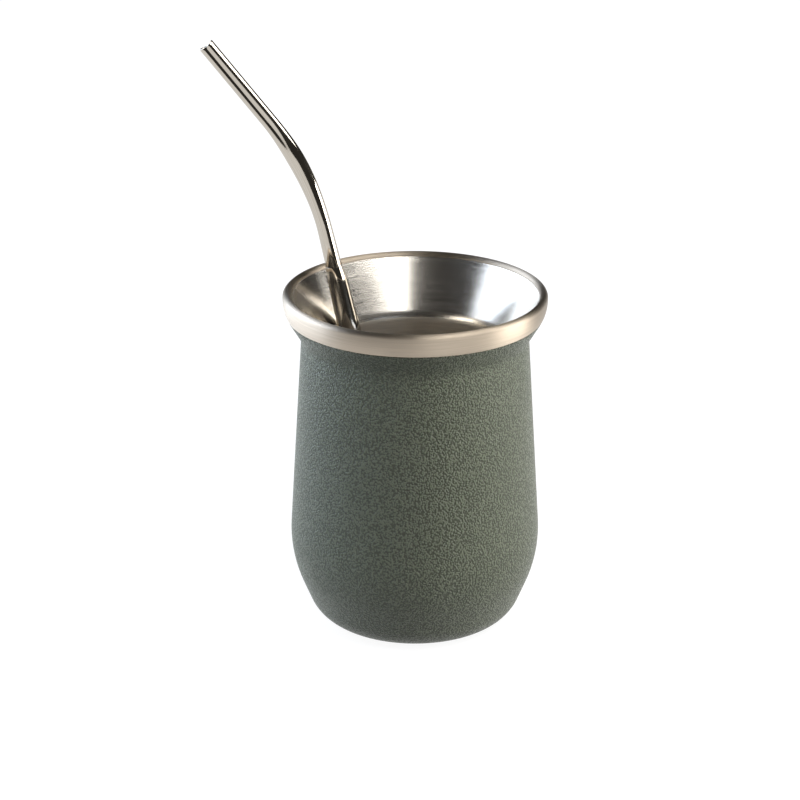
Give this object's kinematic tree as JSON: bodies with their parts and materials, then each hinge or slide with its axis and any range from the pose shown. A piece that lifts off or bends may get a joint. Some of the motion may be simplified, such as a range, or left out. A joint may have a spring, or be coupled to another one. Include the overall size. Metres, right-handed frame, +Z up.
{
  "type": "mate cup with metal straw",
  "caption": "Round double-wall metal mate cup with a coated body and a flared bare steel rim, open and empty, with a bent metal filter straw leaning in it.",
  "frame": {"origin": "centre of the cup's base, on the table", "axes": "+Z up along the cup's axis, -X towards the side the straw's mouthpiece leans to"},
  "size_m": [0.11, 0.084, 0.1867],
  "materials": {
    "hammered_coat": "grey-green hammered powder coat, satin",
    "liner_steel": "finely brushed, brighter inside the funnel",
    "straw_steel": "polished"
  },
  "bodies": {
    "root": {"painted_shell": "hammered_coat", "steel_liner": "liner_steel", "straw_filter": "straw_steel", "straw_tube": "straw_steel"}
  },
  "joints": []
}
